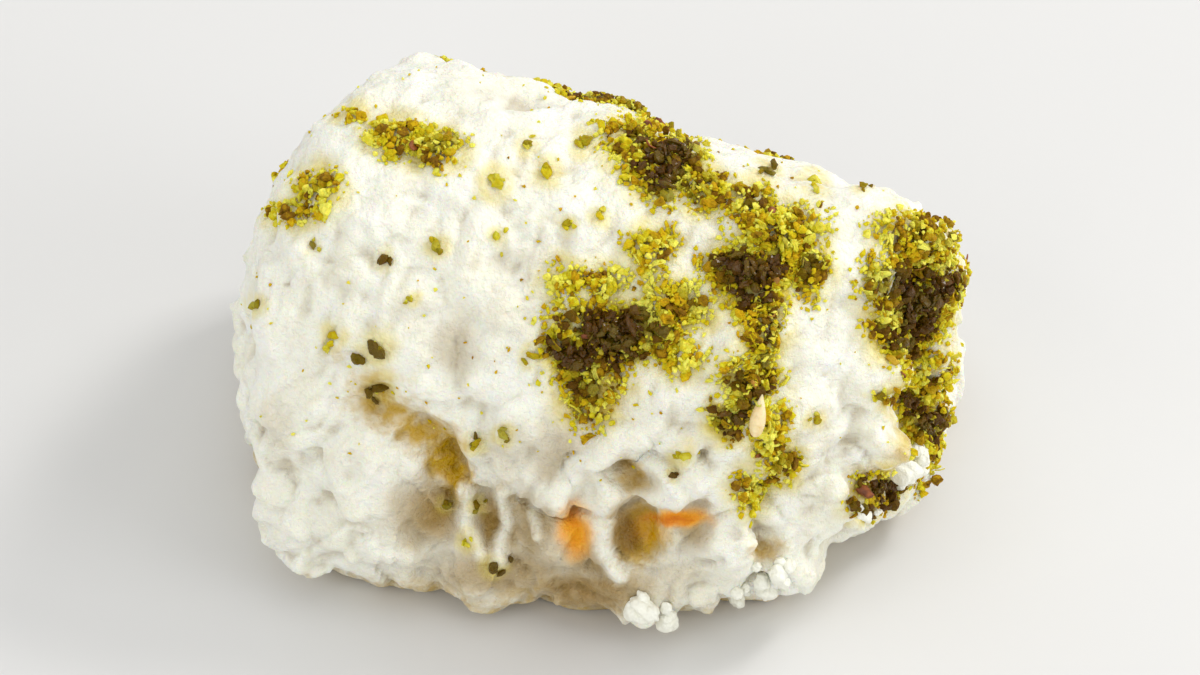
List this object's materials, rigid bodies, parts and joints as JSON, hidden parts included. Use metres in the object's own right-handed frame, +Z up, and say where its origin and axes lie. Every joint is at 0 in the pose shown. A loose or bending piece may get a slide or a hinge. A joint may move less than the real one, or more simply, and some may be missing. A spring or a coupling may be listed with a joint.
{
  "type": "feta cheese piece",
  "caption": "Broken block of white feta cheese with a craggy face and heaps of dried green herbs clinging to it, resting on a flat base.",
  "frame": {"origin": "on the flat base, at the middle of the piece's bounding box", "axes": "+Z up from the base, +X along the longest side, and -Y out of the front, where the broken face with the herbs is"},
  "size_m": [0.057, 0.0471, 0.0368],
  "materials": {
    "feta": "matte, moist, creamy white curd with fine vertical break lines and small pits, a little oily in the hollows",
    "herbs": "dried green herb crumbs, yellow-green where dry and dark brown where soaked in oil",
    "sesame": "smooth cream-coloured sesame seed"
  },
  "bodies": {
    "root": {"feta": "feta"}
  },
  "joints": []
}
